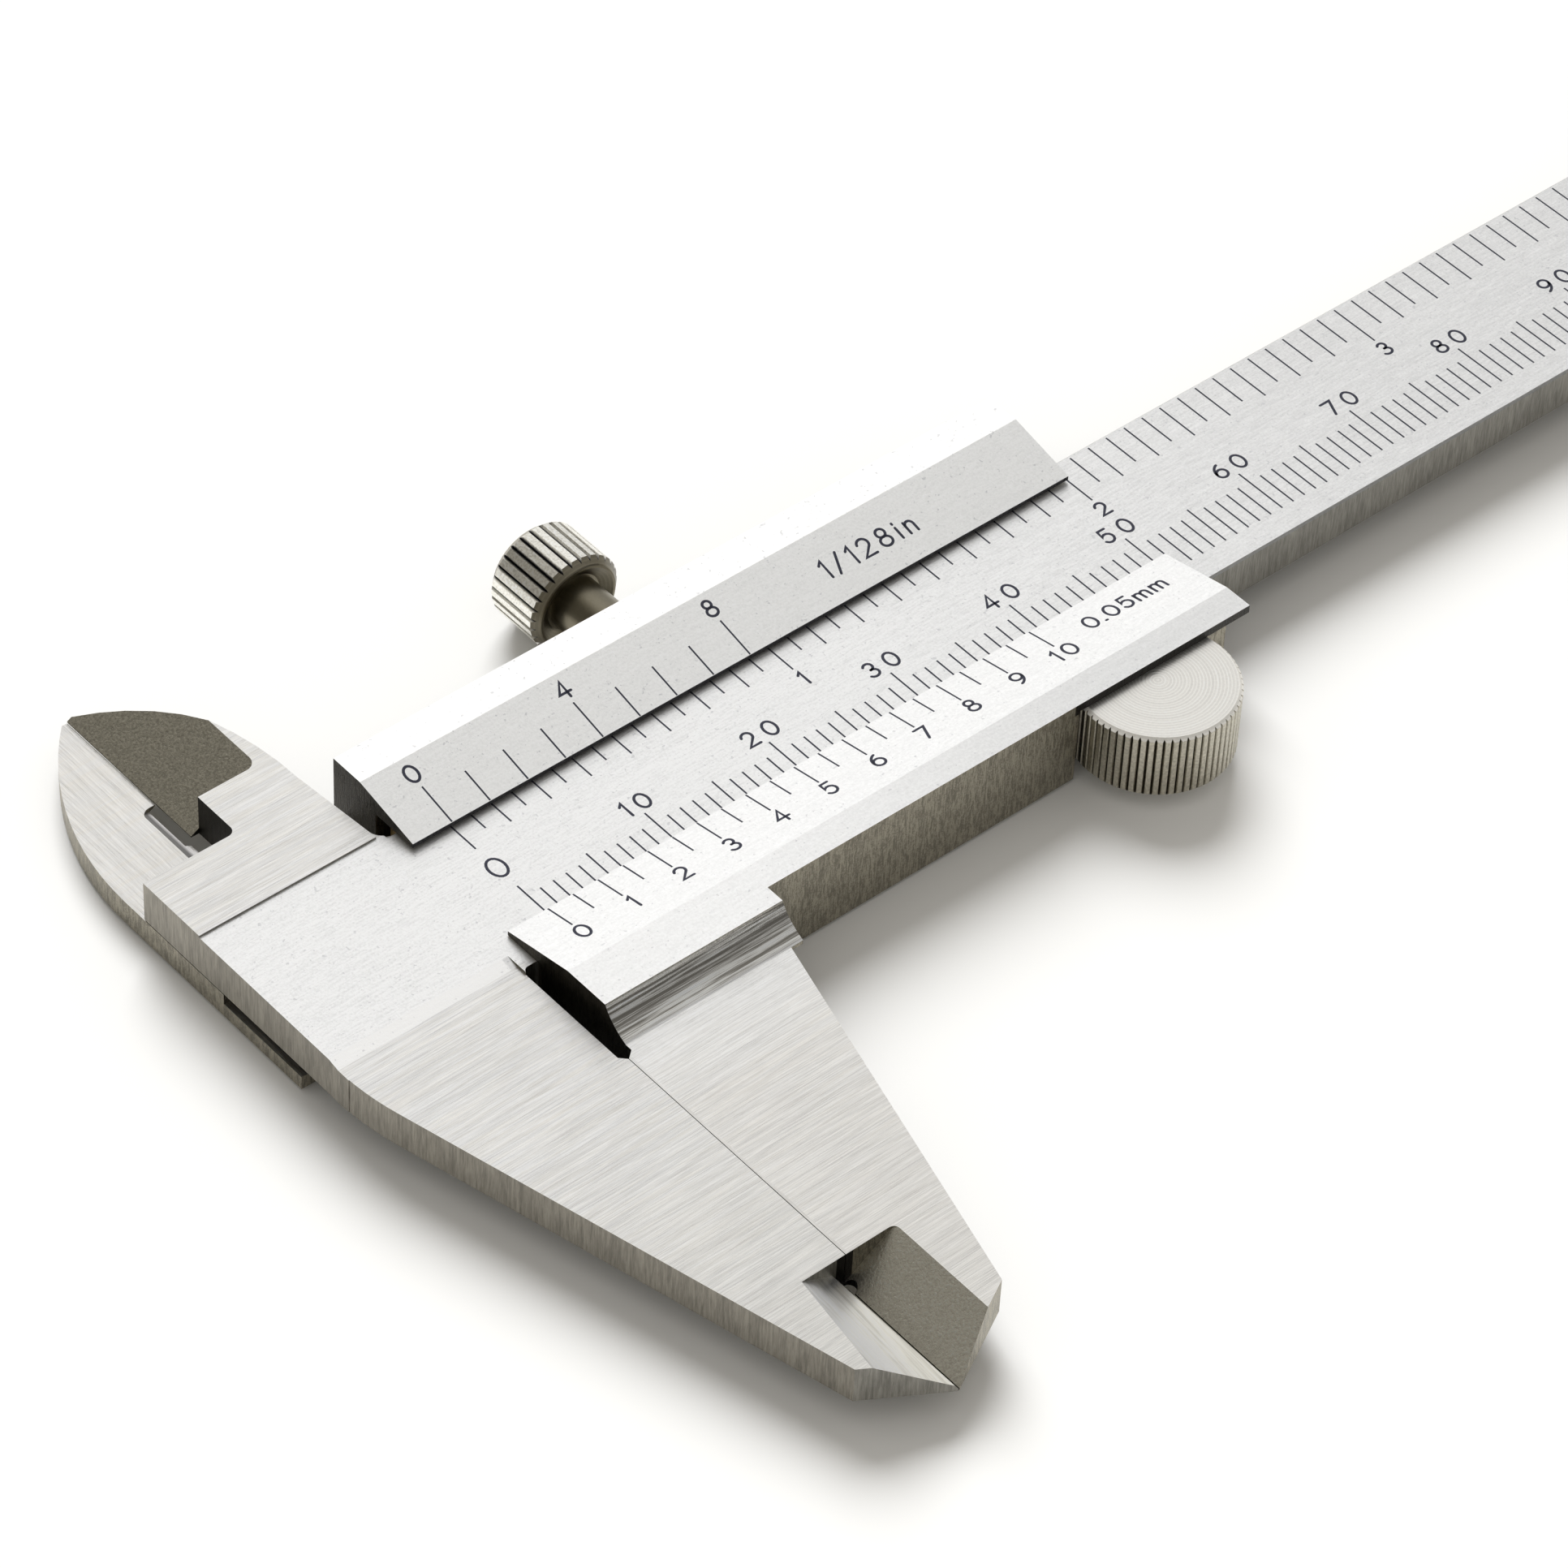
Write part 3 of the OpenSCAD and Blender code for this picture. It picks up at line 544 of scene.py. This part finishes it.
def stroke_sections(path, width, closed, rounded):
    """Point, sideways direction and share of the width at each step along a stroke."""
    count = len(path)
    sections = []
    for i, p in enumerate(path):
        before = path[i - 1] if (i or closed) else None
        after = path[(i + 1) % count] if (i < count - 1 or closed) else None
        a = (p - before).normalized() if before is not None else (after - p).normalized()
        b = (after - p).normalized() if after is not None else a
        side = Vector((-(a + b).y, (a + b).x)).normalized()
        stretch = 1 / max(0.5, side.dot(Vector((-a.y, a.x))))
        sections.append((p, side * stretch, 1.0))
    if closed or not rounded:
        return sections
    first_cap, last_cap = [
        [(path[end] + (path[end] - path[inner]).normalized() * width * reach, sections[end][1], share)
         for reach, share in END_CAP]
        for end, inner in ((0, 1), (-1, -2))
    ]
    return first_cap + sections + last_cap[::-1]


def ribbon(mesh, face, points, width, closed=False, rounded=True):
    """A filled groove along a line of (x, t) points, a hair above the face."""
    rails = []
    for p, side, share in stroke_sections([Vector(p) for p in points], width, closed, rounded):
        ring = []
        for offset, lift in SECTION:
            q = p + side * (offset * width * share)
            ring.append(mesh.verts.new(face.point(q.x, q.y, lift)))
        rails.append(ring)
    pairs = list(zip(rails, rails[1:])) + ([(rails[-1], rails[0])] if closed else [])
    for ring, following in pairs:
        for j in range(4):
            k = (j + 1) % 4
            mesh.faces.new((ring[j], following[j], following[k], ring[k]))
    if not closed:
        mesh.faces.new(rails[0])
        mesh.faces.new(rails[-1][::-1])


def arc(cx, cy, rx, ry, start, end, steps=10):
    turn = [math.radians(start + (end - start) * i / steps) for i in range(steps + 1)]
    return [(cx + rx * math.cos(a), cy + ry * math.sin(a)) for a in turn]


def loop(cx, cy, rx, ry, steps=20):
    return arc(cx, cy, rx, ry, 0, 360 - 360 / steps, steps - 1)


# Each glyph in a box one unit tall: its width, then strokes of (points, closed)
GLYPHS = {
    "0": (0.70, [(loop(0.35, 0.5, 0.35, 0.5), True)]),
    "1": (0.20, [([(0.0, 0.80), (0.2, 1.0), (0.2, 0.0)], False)]),
    "2": (0.64, [(arc(0.31, 0.70, 0.30, 0.30, 165, -38) + [(0.0, 0.0), (0.64, 0.0)], False)]),
    "3": (0.62, [(arc(0.29, 0.75, 0.26, 0.25, 150, -90), False),
                 (arc(0.29, 0.26, 0.31, 0.26, 90, -150), False)]),
    "4": (0.70, [([(0.48, 0.0), (0.48, 1.0), (0.0, 0.30), (0.70, 0.30)], False)]),
    "5": (0.62, [([(0.56, 1.0), (0.12, 1.0), (0.06, 0.53)] + arc(0.30, 0.33, 0.32, 0.33, 125, -150),
                  False)]),
    "6": (0.62, [(loop(0.31, 0.31, 0.31, 0.31), True),
                 (arc(0.62, 0.34, 0.62, 0.66, 176, 106, 6), False)]),
    "7": (0.62, [([(0.0, 1.0), (0.62, 1.0), (0.20, 0.0)], False)]),
    "8": (0.62, [(loop(0.31, 0.76, 0.24, 0.24), True), (loop(0.31, 0.27, 0.31, 0.27), True)]),
    "9": (0.62, [(loop(0.31, 0.69, 0.31, 0.31), True),
                 (arc(0.0, 0.66, 0.62, 0.66, -4, -74, 6), False)]),
    ".": (0.06, [([(0.0, 0.02), (0.06, 0.02)], False)]),
    "/": (0.46, [([(0.0, -0.04), (0.46, 1.04)], False)]),
    "i": (0.04, [([(0.02, 0.0), (0.02, 0.62)], False), ([(0.02, 0.86), (0.02, 0.90)], False)]),
    "n": (0.44, [([(0.0, 0.0), (0.0, 0.64)], False),
                 (arc(0.22, 0.40, 0.22, 0.24, 180, 0, 8) + [(0.44, 0.0)], False)]),
    "m": (0.80, [([(0.0, 0.0), (0.0, 0.64)], False),
                 (arc(0.20, 0.42, 0.20, 0.22, 180, 0, 8) + [(0.40, 0.0)], False),
                 (arc(0.60, 0.42, 0.20, 0.22, 180, 0, 8) + [(0.80, 0.0)], False)]),
}


def write(mesh, face, text, x, t, height=1.25, gap=0.65):
    """Numerals or a unit mark, centred on x and t; the gap is a share of the height."""
    total = sum(GLYPHS[c][0] for c in text) + gap * (len(text) - 1)
    pen = x - total * height / 2
    for c in text:
        advance, strokes = GLYPHS[c]
        for points, closed in strokes:
            placed = [(pen + u * height, t + (v - 0.5) * height) for u, v in points]
            ribbon(mesh, face, placed, STROKE_W, closed)
        pen += (advance + gap) * height


def tick(mesh, face, x, t0, t1):
    ribbon(mesh, face, [(x, t0), (x, t1)], MARK_W, rounded=False)


# ---------------------------------------------------------------- scales

SCALE_ZERO = 3.66                   # x of both zero marks
INCH = 25.4
TRAVEL_MM = 150
TRAVEL_IN = 6
MM_VERNIER_STEP = 39 / 20           # 39 mm in 20 parts
INCH_VERNIER_STEP = INCH * 15 / 16 / 8      # 15 sixteenths in 8 parts

# Where lines end on their face, by how many lines apart those of each rank stand
MM_FOOT = -5.17
MM_TOPS = ((10, -1.05), (5, -1.50), (1, -2.02))
INCH_TOP = 6.85
INCH_FEET = ((16, 2.96), (2, 3.46), (1, 3.98))
MM_VERNIER_TOP = -0.04
MM_VERNIER_FEET = ((2, -2.42), (1, -2.08))
INCH_VERNIER_FOOT = 0.04
INCH_VERNIER_TOPS = ((4, 3.07), (1, 2.59))


def by_rank(number, ends):
    """The end of the line with this number: that of the widest spacing which it falls on."""
    return next(end for spacing, end in ends if number % spacing == 0)


def main_mm_marks(mesh):
    for mm in range(TRAVEL_MM + 1):
        tick(mesh, MAIN_FACE, SCALE_ZERO + mm, MM_FOOT, by_rank(mm, MM_TOPS))


def main_inch_marks(mesh):
    for sixteenth in range(TRAVEL_IN * 16 + 1):
        x = SCALE_ZERO + INCH * sixteenth / 16
        tick(mesh, MAIN_FACE, x, by_rank(sixteenth, INCH_FEET), INCH_TOP)


def main_numerals(mesh):
    write(mesh, MAIN_FACE, "0", SCALE_ZERO + 0.02, 0.92, height=1.65)
    for mm in range(10, TRAVEL_MM + 1, 10):
        write(mesh, MAIN_FACE, str(mm), SCALE_ZERO + mm + 0.05, -0.12)
    for inch in range(1, TRAVEL_IN + 1):
        write(mesh, MAIN_FACE, str(inch), SCALE_ZERO + INCH * inch - 0.03, 1.98, height=1.15)


def mm_vernier(mesh):
    for i in range(21):
        x = SCALE_ZERO + MM_VERNIER_STEP * i
        tick(mesh, LOWER_FACE, x, by_rank(i, MM_VERNIER_FEET), MM_VERNIER_TOP)
        if i % 2 == 0:
            write(mesh, LOWER_FACE, str(i // 2), x + 0.05, -3.34, height=1.24, gap=0.5)
    write(mesh, LOWER_FACE, "0.05mm", 48.85, -2.15, height=1.22, gap=0.34)


def inch_vernier(mesh):
    for i in range(9):
        x = SCALE_ZERO + INCH_VERNIER_STEP * i
        tick(mesh, UPPER_FACE, x, INCH_VERNIER_FOOT, by_rank(i, INCH_VERNIER_TOPS))
        if i % 4 == 0:
            write(mesh, UPPER_FACE, str(i), x + 0.02, 4.15, height=1.24)
    write(mesh, UPPER_FACE, "1/128in", 39.35, 2.6, height=1.40, gap=0.46)


def engraved(name, body, draw, material):
    """A piece made of marks, which rides on the part they are cut into."""
    mesh = bmesh.new()
    draw(mesh)
    bmesh.ops.recalc_face_normals(mesh, faces=mesh.faces)
    data = bpy.data.meshes.new(name)
    mesh.to_mesh(data)
    mesh.free()
    data.materials.append(material)
    obj = bpy.data.objects.new(name, data)
    bpy.context.scene.collection.objects.link(obj)
    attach(obj, body)


filling = engraving_paint()
for name, body, draw in (("main_mm_marks", "beam_body", main_mm_marks),
                         ("main_inch_marks", "beam_body", main_inch_marks),
                         ("main_numerals", "beam_body", main_numerals),
                         ("mm_vernier_marks", "slider_body", mm_vernier),
                         ("inch_vernier_marks", "slider_body", inch_vernier)):
    engraved(name, body, draw, filling)

# ---------------------------------------------------------------- studio

FLOOR_REACH = 3.0                   # metres from the middle to each edge

DARK_SIDE_X = -0.40                 # reflections towards here see the room's dark side
LIT_SIDE_X = 0.27
DARK_LEVEL = 0.20
GLOSS_BASE = 0.68                   # brightness of the lit side, and its rise towards +Y
GLOSS_Y = 0.50
FALL_FROM_X = 0.45                  # past here the lit side falls off again
GLOSS_FALL = 0.8
GLOSS_LOW = 0.10
GLOSS_HIGH = 1.15
AMBIENT = 0.50

KEY_STRENGTH = 3.4
KEY_SPREAD = 38                     # degrees: a wide source, so shadows are soft
KEY_FROM = (0.35, 0.66, 0.72)

CAMERA_TARGET = (22.0, -4.42, 4.9)  # millimetres, on the graduated face
CAMERA_DISTANCE = 405.3
CAMERA_AZIMUTH = 42.651             # degrees from +Y towards +X
CAMERA_DOWN = 44.792
CAMERA_ROLL = 3.045
CAMERA_LENS = 151.3


def studio_floor():
    """Pale floor at the part's lowest point, the head of the lock screw."""
    n = Finish("studio_floor")
    soft = n.noise(n.place(scale=(0.01, 0.01, 0.01)), detail=2)
    tone = n.mix(soft, (0.85, 0.85, 0.845), (0.87, 0.87, 0.865))
    material = n.give(Base_Color=tone, Roughness=0.9, Specular_IOR_Level=0.0)
    mesh = bmesh.new()
    bmesh.ops.create_grid(mesh, x_segments=4, y_segments=4, size=FLOOR_REACH)
    data = bpy.data.meshes.new("floor")
    mesh.to_mesh(data)
    mesh.free()
    data.materials.append(material)
    floor = bpy.data.objects.new("floor", data)
    floor.location.z = LOCK_LO.z
    bpy.context.scene.collection.objects.link(floor)


def studio_world():
    """White room: plain for soft light, and falling off away from the window in reflections."""
    world = bpy.data.worlds.new("studio")
    bpy.context.scene.world = world
    world.use_nodes = True
    world.node_tree.nodes.clear()
    n = Nodes(world.node_tree)
    x, y, _ = n.xyz(n.coord.outputs["Generated"])
    side = n.add("ShaderNodeMapRange", Value=x, From_Min=DARK_SIDE_X, From_Max=LIT_SIDE_X, To_Min=DARK_LEVEL)
    side.interpolation_type = "SMOOTHSTEP"
    lit = side.outputs[0]
    window = n.math("MULTIPLY_ADD", y, GLOSS_Y, GLOSS_BASE)
    fall = n.math("MULTIPLY", n.math("MAXIMUM", n.math("SUBTRACT", x, FALL_FROM_X), 0.0), GLOSS_FALL)
    level = n.math("SUBTRACT", n.math("MULTIPLY", lit, window), fall)
    level = n.math("MINIMUM", n.math("MAXIMUM", level, GLOSS_LOW), GLOSS_HIGH)
    tint = n.mix(lit, (1.0, 0.93, 0.78), (1.0, 0.998, 0.99))
    gloss = n.add("ShaderNodeBackground", Color=tint, Strength=level)
    soft = n.add("ShaderNodeBackground", Color=(1.0, 0.965, 0.895, 1), Strength=AMBIENT)
    path = n.add("ShaderNodeLightPath")
    choose = n.add("ShaderNodeMixShader", i0=path.outputs["Is Glossy Ray"], i1=soft.outputs[0],
                   i2=gloss.outputs[0])
    n.add("ShaderNodeOutputWorld", Surface=choose.outputs[0])


def key_light():
    data = bpy.data.lights.new("key", "SUN")
    data.energy = KEY_STRENGTH
    data.angle = math.radians(KEY_SPREAD)
    data.color = (0.985, 0.992, 1.0)
    key = bpy.data.objects.new("key", data)
    key.rotation_euler = (-Vector(KEY_FROM)).to_track_quat("-Z", "Y").to_euler()
    key.visible_glossy = False
    bpy.context.scene.collection.objects.link(key)


def camera():
    azimuth = math.radians(CAMERA_AZIMUTH)
    down = math.radians(CAMERA_DOWN)
    roll = math.radians(CAMERA_ROLL)
    ahead = Vector((math.sin(azimuth) * math.cos(down), math.cos(azimuth) * math.cos(down),
                    -math.sin(down)))
    level_right = ahead.cross(Vector((0, 0, 1))).normalized()
    level_up = level_right.cross(ahead)
    right = math.cos(roll) * level_right + math.sin(roll) * level_up
    up = right.cross(ahead)
    place = Vector(CAMERA_TARGET) * MM - ahead * CAMERA_DISTANCE * MM
    data = bpy.data.cameras.new("camera")
    data.lens = CAMERA_LENS
    data.sensor_width = 36.0
    data.clip_start = 0.01
    cam = bpy.data.objects.new("camera", data)
    cam.matrix_world = Matrix((
        (right.x, up.x, -ahead.x, place.x),
        (right.y, up.y, -ahead.y, place.y),
        (right.z, up.z, -ahead.z, place.z),
        (0, 0, 0, 1),
    ))
    bpy.context.scene.collection.objects.link(cam)
    bpy.context.scene.camera = cam


studio_floor()
studio_world()
key_light()
camera()
bpy.context.scene.view_settings.view_transform = "Standard"
